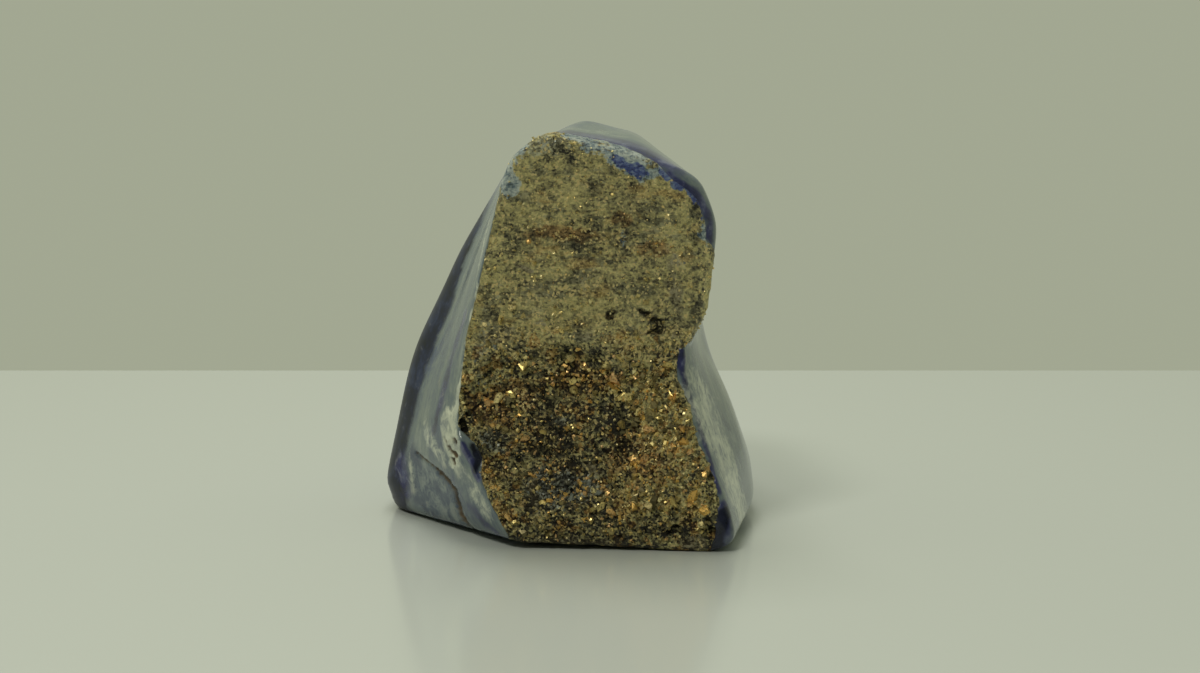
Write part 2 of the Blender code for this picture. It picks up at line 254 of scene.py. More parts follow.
# %% Strokes on the raw face
STROKES = {
    "shade": (
        (3.5, 60.5, 2.6, 0.9, -20, 0.35), (-6.5, 63.5, 2.2, 0.9, 25, 0.35),
        (-17.6, 19.8, 1.0, 1.7, -20, 1.0), (-14.7, 24.2, 3.3, 1.5, -35, 0.55),
        (-8.0, 29.3, 3.7, 1.3, -30, 0.5), (0.1, 32.4, 6.7, 1.5, 0, 0.55),
        (4.1, 23.5, 6.0, 3.3, 10, 0.5), (9.2, 18.6, 3.3, 4.3, -20, 0.6),
        (7.5, 38.8, 1.2, 1.0, 0, 0.9), (15.0, 37.0, 1.3, 1.5, 0, 0.9),
        (13.2, 39.3, 1.3, 0.8, 0, 0.9), (5.5, 7.8, 2.0, 1.5, 0, 0.6),
        (17.5, 3.7, 2.5, 0.7, 5, 0.9), (5.5, 50.8, 5.3, 1.2, 0, 0.5),
        (9.2, 50.2, 1.5, 2.0, 0, 0.6), (-10.5, 53.6, 2.0, 1.7, 0, 0.5),
        (0.4, 65.6, 3.0, 1.3, 0, 0.5), (22.2, 45.7, 1.1, 7.5, 0, 0.5),
        (-13.6, 49.0, 1.3, 1.6, 0, 0.55), (-9.3, 49.6, 3.0, 1.3, 0, 0.5),
        (1.5, 19.5, 8.5, 6.5, -15, 0.35), (-18.3, 18.9, 0.8, 1.0, 0, 1.0),
        (-15.9, 22.2, 2.2, 0.8, 50, 0.8), (21.5, 55.4, 1.0, 3.0, -15, 0.4),
        (24.0, 4.4, 0.9, 2.6, 0, 0.75),
    ),
    "rust": (
        (-1.2, 52.2, 7.5, 1.3, 0, 0.9), (9.2, 54.7, 2.0, 1.3, 0, 0.9),
        (14.7, 50.1, 3.3, 1.3, 0, 0.8), (-8.3, 25.3, 4.3, 2.0, -15, 0.8),
        (-12.0, 21.6, 3.7, 2.0, -20, 0.7), (3.0, 27.5, 5.3, 2.0, 10, 0.7),
        (12.2, 14.7, 5.7, 3.3, 0, 0.8), (-1.2, 12.8, 2.3, 1.5, 20, 0.6),
        (-3.8, 18.7, 7.0, 3.7, 0, 0.5), (-13.4, 13.0, 1.7, 1.7, 0, 0.7),
    ),
    "gold": (
        (15.5, 23.3, 5.7, 8.3, 0, 0.9), (13.8, 34.1, 6.3, 3.0, 0, 0.7),
        (-11.4, 34.6, 5.0, 2.3, -5, 0.8), (-3.8, 36.7, 5.0, 1.7, 0, 0.6),
        (-12.5, 10.5, 1.8, 2.3, 0, 0.8), (9.2, 8.3, 7.0, 2.3, 0, 0.8),
        (20.8, 9.8, 3.0, 2.7, 0, 0.7), (-1.2, 43.0, 10.0, 3.3, 0, 0.4),
        (9.0, 25.5, 6.5, 1.6, -32, 1.0), (-8.5, 24.0, 4.2, 2.0, -20, 0.9),
        (12.5, 14.5, 4.0, 1.2, 0, 1.0), (-4.0, 5.0, 2.5, 1.2, 0, 0.8),
    ),
    "grey": (
        (-1.2, 9.8, 6.3, 3.3, 0, 0.9), (-12.4, 17.3, 3.0, 1.5, -20, 0.7),
        (-0.7, 20.6, 2.0, 1.3, 0, 0.6), (18.3, 43.2, 1.5, 7.5, 4, 0.4),
        (-3.5, 66.8, 4.0, 1.6, 0, 0.6), (-13.6, 35.5, 1.6, 9.0, -12, 0.5),
    ),
    "pale": (
        (-9.9, 61.3, 1.4, 3.4, 8, 1.0), (-8.6, 66.0, 2.2, 1.2, 30, 0.8),
        (4.4, 67.0, 3.0, 0.8, -18, 0.8), (9.6, 64.6, 4.4, 2.0, -22, 0.85),
        (14.0, 62.5, 3.0, 1.0, -10, 1.0), (23.2, 52.6, 0.9, 1.8, 0, 1.0),
        (9.6, 51.9, 1.3, 1.5, 0, 0.5), (2.0, 68.6, 4.0, 0.9, -12, 0.8),
        (8.5, 67.2, 3.5, 0.9, -20, 0.9), (13.5, 65.4, 3.0, 0.9, -25, 0.9),
        (17.2, 63.0, 2.2, 0.8, -38, 0.9),
    ),
    "tan": (
        (0.4, 1.4, 10.0, 0.9, 2, 0.9), (21.0, 1.6, 2.8, 1.3, -5, 1.0),
        (-5.9, 7.4, 1.3, 1.5, 0, 0.8), (-10.0, 3.4, 1.5, 0.8, 30, 0.8),
        (-11.7, 35.3, 3.0, 1.3, 0, 0.7), (3.1, 35.8, 2.7, 1.0, 0, 0.6),
        (-7.4, 46.8, 1.6, 0.5, -8, 1.0), (-4.6, 37.6, 1.3, 0.8, 0, 0.9),
        (-6.0, 42.0, 5.0, 3.0, -10, 0.5), (4.0, 44.0, 6.0, 2.6, 0, 0.5),
        (9.0, 58.0, 7.0, 1.6, -14, 0.5), (-3.0, 59.5, 4.0, 1.3, 0, 0.4),
        (15.3, 17.6, 1.6, 0.9, 30, 0.6), (0.2, 19.1, 1.2, 0.8, 0, 0.9),
        (4.2, 13.1, 1.4, 0.8, -50, 1.0), (-5.7, 9.6, 0.8, 2.0, -15, 1.0),
        (18.0, 43.2, 1.2, 8.0, 4, 0.7),
    ),
    "blue": (
        (9.4, 64.0, 2.2, 0.9, -26, 1.0), (11.9, 63.0, 1.9, 0.8, -10, 1.0),
        (18.3, 61.2, 2.6, 0.9, -28, 1.0), (21.3, 58.9, 1.8, 1.0, -45, 1.0),
        (22.9, 56.2, 0.8, 2.2, -12, 0.9), (23.9, 52.2, 0.5, 1.4, 0, 1.0),
        (-10.8, 61.0, 0.6, 0.8, 0, 0.7),
    ),
}
print("strokes:", {name: len(strokes) for name, strokes in STROKES.items()})

# %% Streaks on the polished sides
# They follow the stone's sides, so their points have a depth as well: (x, y, z).
STREAKS = {
    "deep": (
        (0.8, 1.0, (
            (18.7, -38.0, 34.1), (19.0, -38.9, 29.7), (20.6, -38.9, 25.8), (22.1, -39.3, 21.6),
        )),
        (0.6, 0.9, (
            (22.1, -39.3, 21.6), (23.1, -40.7, 17.6), (24.0, -41.4, 14.3), (25.2, -42.6, 10.3),
        )),
        (1.3, 1.0, ((26.0, -43.2, 7.1), (26.2, -44.0, 3.9), (25.2, -44.0, 1.3))),
        (1.1, 0.8, (
            (-17.6, -30.8, 38.0), (-20.2, -29.3, 29.4), (-21.8, -28.8, 23.2), (-23.1, -28.0, 18.2),
        )),
        (1.6, 0.9, ((-29.8, -15.1, 9.2), (-29.6, -15.0, 6.8), (-29.3, -15.0, 4.6))),
        (0.9, 1.0, (
            (17.0, -33.6, 61.8), (18.9, -33.4, 60.8), (21.0, -32.8, 59.1), (22.8, -32.0, 56.8),
        )),
        (0.8, 1.0, ((22.8, -32.0, 56.8), (23.9, -31.7, 54.5), (24.3, -31.7, 51.1))),
        (0.7, 0.85, (
            (-17.8, -36.9, 16.7), (-16.8, -37.3, 15.1), (-15.9, -37.6, 13.6), (-14.9, -38.3, 11.6),
        )),
        (0.9, 0.7, (
            (-16.8, -34.1, 5.8), (-15.2, -35.8, 4.4), (-13.5, -37.4, 3.0), (-11.9, -38.1, 1.8),
        )),
        (2.6, 0.95, (
            (-1.5, -26.0, 69.0), (5.5, -27.0, 68.0), (12.2, -29.0, 66.4), (17.5, -30.5, 63.6),
        )),
    ),
    "chalk_and_highlight": (
        # The first two run along the left edge of the raw face: a painted highlight on its rounded
        # rim.
        (0.5, 0.9, (
            (-13.5, -25.2, 53.5), (-15.0, -34.1, 42.9), (-16.7, -35.2, 34.5), (-18.1, -36.0, 27.0),
        )),
        (0.6, 1.0, ((-18.1, -36.0, 27.0), (-19.1, -34.7, 21.6), (-19.4, -34.6, 19.0))),
        (1.5, 1.0, (
            (-20.6, -32.7, 20.8), (-21.1, -32.3, 18.6), (-20.6, -33.2, 16.2), (-19.5, -34.2, 14.6),
        )),
        (0.9, 1.0, (
            (-19.6, -34.1, 19.8), (-19.2, -35.3, 17.4), (-19.0, -35.0, 15.0), (-19.8, -33.0, 13.2),
        )),
        (1.6, 0.55, (
            (-18.8, -34.6, 13.3), (-17.4, -35.6, 10.9), (-15.6, -37.1, 8.3), (-13.9, -38.3, 5.8),
        )),
        (1.6, 0.45, ((-25.0, -23.6, 17.0), (-23.9, -26.6, 15.8), (-22.0, -29.7, 13.8))),
        (0.9, 0.4, ((-28.5, -17.0, 11.4), (-28.2, -17.3, 8.7), (-27.7, -17.4, 5.1))),
        (0.5, 0.9, ((18.7, -38.6, 35.6), (18.4, -38.9, 33.0))),
        (5.0, 0.7, ((22.5, -35.0, 24.0), (26.5, -33.0, 14.0), (29.0, -32.0, 4.0))),
        (0.35, 0.8, (
            (19.9, -40.4, 27.5), (21.2, -40.8, 22.6), (22.3, -41.6, 18.6), (23.2, -42.2, 15.6),
        )),
    ),
    "ink": (
        (0.7, 0.9, (
            (-15.8, -36.4, 16.6), (-15.3, -36.6, 15.6), (-14.9, -36.9, 14.3), (-15.1, -37.6, 13.3),
        )),
        (1.2, 1.0, ((25.9, -43.4, 6.1), (25.9, -44.2, 3.9), (25.0, -44.2, 1.3))),
    ),
    "slate": (
        (1.3, 0.7, (
            (21.9, -33.3, 28.3), (24.8, -27.8, 23.0), (28.2, -22.7, 16.9), (29.9, -23.7, 10.8),
        )),
        (3.6, 1.0, (
            (-27.2, -18.9, 9.0), (-25.2, -21.6, 7.8), (-22.3, -25.8, 6.5), (-20.1, -28.2, 3.8),
        )),
        (3.6, 0.9, ((-27.2, -18.9, 6.0), (-24.3, -22.2, 4.3), (-21.0, -26.5, 2.0))),
    ),
    "brown": (
        (0.35, 1.0, (
            (-22.9, -26.5, 10.7), (-21.8, -28.1, 10.0), (-20.3, -30.0, 8.8), (-19.4, -31.0, 7.7),
        )),
        (0.45, 1.0, (
            (-19.4, -31.0, 7.7), (-19.1, -30.6, 5.7), (-18.4, -30.5, 3.4), (-17.2, -31.0, 1.0),
        )),
        (1.1, 0.25, (
            (-21.8, -28.1, 10.0), (-19.4, -31.0, 7.7), (-18.4, -30.5, 3.4), (-17.2, -31.0, 1.0),
        )),
        (0.3, 0.6, (
            (-26.9, -20.2, 12.3), (-25.5, -22.6, 11.9), (-24.3, -24.4, 11.4), (-22.9, -26.5, 10.7),
        )),
        (0.35, 0.9, ((-20.1, -33.6, 15.7), (-19.9, -33.8, 15.2))),
        (0.45, 1.0, ((-19.3, -34.5, 14.9), (-19.1, -34.7, 14.5))),
        (0.35, 1.0, ((-19.6, -33.6, 13.7), (-19.4, -33.5, 13.3))),
        (0.35, 0.9, ((-19.4, -35.0, 17.6), (-19.2, -35.2, 17.0))),
        (0.2, 0.6, ((-21.1, -32.4, 17.6), (-20.4, -33.1, 15.5))),
    ),
}
print("streaks:", {name: len(streaks) for name, streaks in STREAKS.items()})


# %% Brushes
def point_places():
    """Every point of the stone, in millimetres."""
    places = np.zeros(len(stone.data.vertices) * 3)
    stone.data.vertices.foreach_get("co", places)
    return places.reshape(-1, 3) / MM


# Vector noise takes its seed from the clock unless it is given one.
NOISE_SEED = 2
noise.seed_set(NOISE_SEED)


def wander(places, length, reach):
    """An offset for each place, from noise with forms of this length, up to about reach."""
    return reach * np.array([noise.noise_vector(Vector(place / length)) for place in places])


def gap_to_line(places, line):
    """The distance from each place to the nearest point of a line through these points."""
    nearest = np.full(len(places), np.inf)
    for start, finish in zip(line, line[1:]):
        start = np.array(start)
        run = np.array(finish) - start
        share = np.clip((places - start) @ run / (run @ run), 0.0, 1.0)
        reach = places - start - share[:, None] * run
        nearest = np.minimum(nearest, np.linalg.norm(reach, axis=1))
    return nearest


def inside_outline(across, up, outline):
    """The distance in from the outline's edge, negative outside it."""
    nearest = gap_to_line(np.column_stack([across, up]), outline + outline[:1])
    crossings = np.zeros(len(across), int)
    for (x0, z0), (x1, z1) in zip(outline, outline[1:] + outline[:1]):
        spans = (z0 > up) != (z1 > up)
        level = x0 + (up - z0) * (x1 - x0) / ((z1 - z0) or 1.0)
        crossings += spans & (across < level)
    return np.where(crossings % 2 == 1, nearest, -nearest)


def soft_edge(values, start, end):
    """0 where values are at start, 1 where they are at end, and smooth between."""
    share = np.clip((values - start) / (end - start), 0.0, 1.0)
    return share * share * (3 - 2 * share)


def dabbed(places, strokes):
    """The strongest of the oval strokes at each place, seen from the front."""
    layer = np.zeros(len(places))
    for x, z, wide, tall, turn, strength in strokes:
        cosine, sine = math.cos(math.radians(turn)), math.sin(math.radians(turn))
        right, above = places[:, 0] - x, places[:, 2] - z
        along = (right * cosine + above * sine) / wide
        over = (above * cosine - right * sine) / tall
        layer = np.maximum(layer, strength * soft_edge(np.hypot(along, over), 1.6, 0.5))
    return layer


def streaked(places, streaks):
    """The strongest of the streaks at each place."""
    layer = np.zeros(len(places))
    for reach, strength, line in streaks:
        gap = gap_to_line(places, line) / reach
        layer = np.maximum(layer, strength * soft_edge(gap, 2.0, 0.3))
    return layer


def keep_layer(name, values):
    """Stores one painted layer on the stone's points."""
    layer = stone.data.attributes.new(name, "FLOAT", "POINT")
    layer.data.foreach_set("value", values.astype(np.float32))


# %% Bend the places
# A brush reads bent places instead of the true ones, and that is what frays its strokes.
places = point_places()
depth = behind_face(places)
bent = places + wander(places, 2.2, 1.1) + wander(places, 0.8, 0.5)
smooth_bent = places + wander(places, 3.0, 0.8) + wander(places, 0.9, 0.2)
crack_bent = places + wander(places, 0.8, 0.45)
drifting = places + wander(places, 14.0, 9.0) + wander(places, 5.0, 2.5)
print("points to paint:", len(places))

# %% Paint the crust
# The crust's edge is straight on the left and frayed on the right. It reaches over the rim and
# onto the sides, furthest in the hollow, on the side lobe and along the top.
HOLLOW_MIDDLE = (-2.5, 19.7)
HOLLOW_HALF = (17.5, 15.5)
LOBE_LEFT = 18.0
LOBE_FOOT = 33.0
SHOULDER = 58.0
RIM_REACH = 2.2

fray = 0.25 * soft_edge(places[:, 0], 0.0, 15.0) * soft_edge(places[:, 2], SHOULDER, 50.0)
frayed = places + (0.15 + fray)[:, None] * (wander(places, 1.8, 1.0) + wander(places, 0.7, 0.5))
from_hollow = np.hypot(
    (places[:, 0] - HOLLOW_MIDDLE[0]) / HOLLOW_HALF[0],
    (places[:, 2] - HOLLOW_MIDDLE[1]) / HOLLOW_HALF[1],
)
on_lobe = soft_edge(places[:, 0], LOBE_LEFT, 20.0) * soft_edge(places[:, 2], LOBE_FOOT, 36.0)
on_top = soft_edge(places[:, 2], SHOULDER, 62.0)
crust_reach = RIM_REACH + 5.0 * soft_edge(from_hollow, 1.15, 0.9) + 4.5 * on_lobe + 1.0 * on_top
inward = inside_outline(frayed[:, 0], frayed[:, 2], CRUST_EDGE)
past_reach = depth + 1.2 * wander(places, 1.5, 1.0)[:, 1] - crust_reach
layers = {"crust": soft_edge(inward, -0.2, 0.25) * soft_edge(past_reach, 0.4, 0.0)}
print("crust covers", int((layers["crust"] > 0.5).sum()), "points")

# %% Paint the strokes and streaks
near_face = soft_edge(depth, 6.0, 4.0)
for name, strokes in STROKES.items():
    layers[name] = dabbed(bent, strokes) * near_face
for name, streaks in STREAKS.items():
    layers[name] = streaked(crack_bent if name == "brown" else smooth_bent, streaks)
print("cracked points:", int((layers["brown"] > 0.5).sum()))

# %% Paint the wide layers
# Far back on the left side a navy band runs up the stone, partly dark lapis and partly a painted
# dark reflection. The front of the stone is ashen, partly its own grey and partly a painted pale
# reflection, and bluer stone shows behind it. The crust is painted darker in its hollow, as shade,
# and towards the bottom, and its lower half is rough.
# The navy band is partly dark lapis and partly a painted dark reflection.
band_front = np.interp(places[:, 2], (5.0, 26.0, 38.0, 46.0), (-15.5, -16.0, -16.5, -14.5))
band = soft_edge(smooth_bent[:, 1], band_front - 1.8, band_front + 1.5)
band *= soft_edge(drifting[:, 1], 3.0, -8.0) * soft_edge(places[:, 0], -8.0, -14.0)
layers["navy_and_dark_reflection"] = band * soft_edge(drifting[:, 2], 62.0, 50.0)
# The ashen front is partly the stone's own grey and partly a painted pale reflection.
layers["ashen_and_pale_reflection"] = soft_edge(drifting[:, 1], 0.0, -19.0)
hollow_inward = inside_outline(bent[:, 0], bent[:, 2], HOLLOW_EDGE)
layers["hollow"] = soft_edge(hollow_inward, -0.6, 2.4)
# Painted shade in the hollow, and the crust darker towards the bottom.
foot = soft_edge(bent[:, 2], 8.0, 4.0)
layers["hollow_shade_and_foot"] = 0.6 * np.maximum(layers["hollow"], 1.4 * foot)
layers["rough"] = np.maximum(layers["hollow"], soft_edge(bent[:, 2], 39.0, 27.0))
for name, values in layers.items():
    keep_layer(name, values)
print("layers:", list(layers))

# %% [markdown]
# ## The crust's relief
# Real pyrite crust is a heap of grains from a third of a millimetre to a millimetre across.
# Displace modifiers give its lumps, each through a vertex group that keeps the polished sides
# still. They are applied, so the relief is in the mesh and not only in the shading. The lower
# half is rougher than the slab above it, so its points weigh more in the group. Two more groups
# press in the deep pits of the crust and the brown crack of the polished facet. Near the table
# the groups fade out, so the base stays flat.

# %% Relief
calm = 1.0 - 0.7 * np.maximum(layers["blue"], layers["pale"])
off_base = soft_edge(places[:, 2], 0.1, 2.2)
WEIGHTS = {
    "crust_relief": layers["crust"] * (0.35 + 0.65 * layers["rough"]) * calm * off_base,
    "pit_relief": layers["crust"] * soft_edge(layers["shade"], 0.65, 1.0) * off_base,
    "crack_relief": layers["brown"],
}
for name, weights in WEIGHTS.items():
    group = stone.vertex_groups.new(name=name)
    for index in np.flatnonzero(weights > 0.01):
        group.add([int(index)], float(weights[index]), "REPLACE")


def press(name, group, height, kind=None, size=1.0, depth=0):
    """Moves a group of points in or out, by a texture if one is named, all in millimetres."""
    push = stone.modifiers.new(name, "DISPLACE")
    push.vertex_group = group
    push.strength = height * MM
    if kind:
        push.texture = bpy.data.textures.new(name, kind)
        push.texture.noise_scale = size * MM
        if kind == "CLOUDS":
            push.texture.noise_depth = depth
        push.texture_coords = "LOCAL"
    else:
        push.mid_level = 0.0
    bpy.ops.object.modifier_apply(modifier=push.name)


press("slow_lumps", "crust_relief", 1.5, "CLOUDS", 3.2, 3)
press("small_lumps", "crust_relief", 0.8, "CLOUDS", 1.1, 2)
press("grain_cells", "crust_relief", -0.35, "VORONOI", 0.8)
press("fine_cells", "crust_relief", -0.2, "VORONOI", 0.5)
press("deep_pits", "pit_relief", -0.6)
press("crack_groove", "crack_relief", -0.55)
bpy.ops.object.shade_smooth()
rise = point_places() - places
print("the relief moves points by up to", round(float(np.linalg.norm(rise, axis=1).max()), 2), "mm")

# %% [markdown]
# ## Painted shade in the low spots
# The crust is painted darker where it dips, as shade. A dip is a point that lies under the average
# of its neighbours. The average is taken over a few rounds, which widens what counts as near, and
# the result is stored as one more painted layer.

# %% Find the dips
def find_dips(rounds):
    """How far each point lies below its surroundings, in millimetres."""
    here = point_places()
    ends = np.zeros(len(stone.data.edges) * 2, int)
    stone.data.edges.foreach_get("vertices", ends)
    ends = ends.reshape(-1, 2)
    count = np.bincount(ends.ravel(), minlength=len(here))[:, None]
    average = here.copy()
    for _ in range(rounds):
        total = np.zeros_like(average)
        np.add.at(total, ends[:, 0], average[ends[:, 1]])
        np.add.at(total, ends[:, 1], average[ends[:, 0]])
        average = total / count
    outward = np.zeros(len(here) * 3)
    stone.data.vertices.foreach_get("normal", outward)
    return ((average - here) * outward.reshape(-1, 3)).sum(axis=1)


DIP_ROUNDS = 5

dips = find_dips(DIP_ROUNDS)
keep_layer("dip", np.clip(dips, -1.0, 1.0))
on_crust = layers["crust"] > 0.5
print("dips on the crust, mm:", np.percentile(dips[on_crust], (5, 50, 95)).round(3))

# %% [markdown]
# ## Materials from layers
# One Principled shader carries the whole stone, so the polish and the crust can meet along any
# edge. Each of its inputs is a mix of the polished value and the crust's value, and the painted
# layers choose between them. A layer is never used bare: noise is added first, and the sum is
# cut at a threshold, so each patch ends in grains and specks like the real one.

# %% Node helpers
def add(tree, kind, settings=(), **sockets):
    """Adds a node, sets its options, and sets or links its inputs, i0 being the first."""
    node = tree.nodes.new(kind)
    for key, value in settings:
        setattr(node, key, value)
    for name, value in sockets.items():
        socket = node.inputs[int(name[1:])] if name[1:].isdigit() else node.inputs[name]
        if isinstance(value, bpy.types.NodeSocket):
            tree.links.new(value, socket)
        else:
            socket.default_value = value
    return node


def painted(tree, name):
    """A painted layer."""
    return add(tree, "ShaderNodeAttribute", [("attribute_name", name)]).outputs["Fac"]


def calc(tree, operation, first, second=0.0):
    """One sum of two values."""
    return add(tree, "ShaderNodeMath", [("operation", operation)], i0=first, i1=second).outputs[0]


def most(tree, first, *others):
    """The largest of several values."""
    for other in others:
        first = calc(tree, "MAXIMUM", first, other)
    return first


def blend(tree, *shares):
    """The sum of values, each times its share."""
    total = 0.0
    multiply_add = [("operation", "MULTIPLY_ADD")]
    for value, share in shares:
        node = add(tree, "ShaderNodeMath", multiply_add, i0=value, i1=share, i2=total)
        total = node.outputs[0]
    return total


def between(tree, value, start, end):
    """0 where value is start or less and 1 where it is end or more, or the other way round."""
    node = add(tree, "ShaderNodeMapRange", [("interpolation_type", "SMOOTHSTEP")], Value=value)
    node.inputs["From Min"].default_value = start
    node.inputs["From Max"].default_value = end
    return node.outputs["Result"]


def mix(tree, share, first, second):
    """Two colours mixed by share, the second a socket or three numbers."""
    if not isinstance(second, bpy.types.NodeSocket):
        second = (*second, 1.0)
    node = add(tree, "ShaderNodeMix", [("data_type", "RGBA")], i0=share, i6=first, i7=second)
    return node.outputs[2]


def ramp(tree, value, stops):
    """Colours along a value, each stop a place and a colour."""
    node = add(tree, "ShaderNodeValToRGB", i0=value)
    elements = node.color_ramp.elements
    while len(elements) < len(stops):
        elements.new(0.5)
    for element, (place, colour) in zip(elements, stops):
        element.position = place
        element.color = (*colour, 1.0)
    return node.outputs["Color"]


def cloud(tree, where, size, detail=4.0, roughness=0.55, distortion=0.0):
    """Noise with forms of about this size in millimetres."""
    node = add(tree, "ShaderNodeTexNoise", Vector=where, Scale=1.0 / (size * MM))
    node.inputs["Detail"].default_value = detail
    node.inputs["Roughness"].default_value = roughness
    node.inputs["Distortion"].default_value = distortion
    return node.outputs["Fac"]


def cells(tree, where, size, feature="F1"):
    """Voronoi cells of about this size in millimetres."""
    node = add(tree, "ShaderNodeTexVoronoi", [("feature", feature)], Vector=where)
    node.inputs["Scale"].default_value = 1.0 / (size * MM)
    return node


# %% Crust colours
OLIVE = (
    (0.33, (0.030, 0.029, 0.023)),
    (0.41, (0.185, 0.170, 0.096)),
    (0.48, (0.470, 0.425, 0.204)),
    (0.56, (0.700, 0.630, 0.282)),
    (0.70, (1.000, 0.900, 0.440)),
)
RUST = (
    (0.37, (0.028, 0.020, 0.012)),
    (0.45, (0.160, 0.108, 0.050)),
    (0.53, (0.380, 0.255, 0.105)),
    (0.64, (0.680, 0.470, 0.200)),
)
GREY = (
    (0.36, (0.030, 0.030, 0.024)),
    (0.45, (0.180, 0.185, 0.145)),
    (0.58, (0.640, 0.670, 0.570)),
)
PALE = (
    (0.37, (0.060, 0.100, 0.150)),
    (0.46, (0.270, 0.360, 0.390)),
    (0.58, (0.680, 0.750, 0.690)),
)
TAN = (
    (0.38, (0.060, 0.050, 0.028)),
    (0.47, (0.270, 0.235, 0.135)),
    (0.60, (0.520, 0.470, 0.300)),
)
RAW_BLUE = (
    (0.36, (0.022, 0.030, 0.115)),
    (0.48, (0.085, 0.130, 0.400)),
    (0.62, (0.300, 0.390, 0.560)),
)
SMOKE = (
    (0.38, (0.020, 0.021, 0.016)),
    (0.48, (0.095, 0.100, 0.074)),
    (0.62, (0.330, 0.330, 0.230)),
)
AMBER = (
    (0.36, (0.045, 0.027, 0.012)),
    (0.45, (0.320, 0.200, 0.068)),
    (0.54, (0.680, 0.450, 0.150)),
    (0.66, (0.920, 0.720, 0.330)),
)
# Painted shade: a near-black laid on the crust under the shade strokes and in its dips.
PAINTED_SHADE = (0.014, 0.013, 0.011)
GLINT = (0.850, 0.720, 0.360)

print("crust ramps from", len(OLIVE), "stops of olive to", len(AMBER), "of amber")

# %% Crust tone
# One value says how light the crust is, and every crust colour is picked by it.
finish = bpy.data.materials.new("lapis_and_crust")
finish.use_nodes = True
tree = finish.node_tree
shader = tree.nodes["Principled BSDF"]
where = add(tree, "ShaderNodeTexCoord").outputs["Object"]

speckle = cloud(tree, where, 0.75, detail=2.5, roughness=0.8)
flattened = add(tree, "ShaderNodeMapping", i0=where)
flattened.inputs["Rotation"].default_value = (0.0, math.radians(12), 0.0)
flattened.inputs["Scale"].default_value = (0.34, 1.0, 1.0)
shavings = cloud(tree, flattened.outputs[0], 0.55, detail=3.0, roughness=0.75, distortion=0.9)
smudge = cloud(tree, where, 2.4, detail=5.0, roughness=0.6)
blotch = cloud(tree, where, 7.0, detail=3.0)
facet = add(tree, "ShaderNodeSeparateColor", i0=cells(tree, where, 0.40).outputs["Color"])
rough_facet = calc(tree, "MULTIPLY", facet.outputs[0], painted(tree, "rough"))
# Painted shade darkens the tone in the hollow and under the shade strokes, and the tone also falls
# towards the bottom.
crust_tone = blend(
    tree,
    (speckle, 0.26),
    (shavings, 0.37),
    (smudge, 0.42),
    (blotch, 0.28),
    (facet.outputs[0], 0.15),
    (rough_facet, 0.14),
    (painted(tree, "rough"), -0.088),
    (1.0, -0.232),
    (painted(tree, "hollow_shade_and_foot"), -0.108),
    (painted(tree, "shade"), -0.10),
    (painted(tree, "gold"), 0.01),
)
print("crust tone:", len(tree.nodes), "nodes")


# %% Crust clouds and chips
# Smoke and amber lie over the olive in clouds, and single chips of amber are cells of a Voronoi.
# The cells' places are jostled by noise, so the chips have broken edges.
def clouded(below, stops, size, start, end, strength):
    """Lays a crust colour over another in flattened clouds of about this size in millimetres."""
    drift = cloud(tree, flattened.outputs[0], size, detail=5.0, roughness=0.65)
    share = calc(tree, "MULTIPLY", between(tree, drift, start, end), strength)
    return mix(tree, share, below, ramp(tree, crust_tone, stops))


JOSTLE = 1.2 * MM
CHIP_SIZE = 1.6

crust_colour = clouded(ramp(tree, crust_tone, OLIVE), SMOKE, 2.4, 0.52, 0.62, 0.7)
crust_colour = clouded(crust_colour, AMBER, 3.3, 0.54, 0.66, 0.6)
jitter = add(tree, "ShaderNodeTexNoise", Vector=where, Scale=1.0 / (0.6 * MM))
jostled = add(
    tree,
    "ShaderNodeVectorMath",
    [("operation", "MULTIPLY_ADD")],
    i0=jitter.outputs["Color"],
    i1=(JOSTLE, JOSTLE, JOSTLE),
    i2=where,
)
chip_cells = cells(tree, jostled.outputs[0], CHIP_SIZE)
chip = add(tree, "ShaderNodeSeparateColor", i0=chip_cells.outputs["Color"])
chip_amount = blend(tree, (chip.outputs[0], 1.0), (painted(tree, "rough"), 0.25))
chipped = between(tree, chip_amount, 0.98, 1.03)
crust_colour = mix(tree, chipped, crust_colour, ramp(tree, crust_tone, AMBER))

# %% Crust stains
# Each stain is a painted layer, its colours, how far it reaches past its stroke, where it starts
# and where it is full, and how much the speckle breaks its edge.
STAINS = (
    ("rust", RUST, 0.45, 0.50, 0.80, 0.3),
    ("grey", GREY, 0.45, 0.52, 0.80, 0.3),
    ("tan", TAN, 0.45, 0.55, 0.80, 0.3),
    ("pale", PALE, 0.50, 0.84, 0.97, 0.8),
    ("blue", RAW_BLUE, 0.50, 0.88, 1.00, 0.8),
)


def stain_share(layer, reach, start, end, grit):
    """How much of a stain shows, where its layer, the smudges and the speckle add up."""
    amount = blend(tree, (painted(tree, layer), reach), (smudge, 0.5), (speckle, grit))
    return between(tree, amount, start, end)


stained = {}
for layer, stops, *edge in STAINS:
    stained[layer] = stain_share(layer, *edge)
    crust_colour = mix(tree, stained[layer], crust_colour, ramp(tree, crust_tone, stops))
print("stains:", list(stained))

# %% Crust painted shade and glints
# Painted shade darkens the places under the shade strokes and the dips of the crust. Glints are
# single cells, and none is on painted shade or on the bare blue and pale rock.
shaded = stain_share("shade", 0.50, 0.70, 0.98, 0.3)
crust_colour = mix(tree, shaded, crust_colour, PAINTED_SHADE)
in_dip = between(tree, blend(tree, (painted(tree, "dip"), 1.2), (speckle, 0.5)), 0.26, 0.38)
crust_colour = mix(tree, calc(tree, "MULTIPLY", in_dip, 0.6), crust_colour, PAINTED_SHADE)
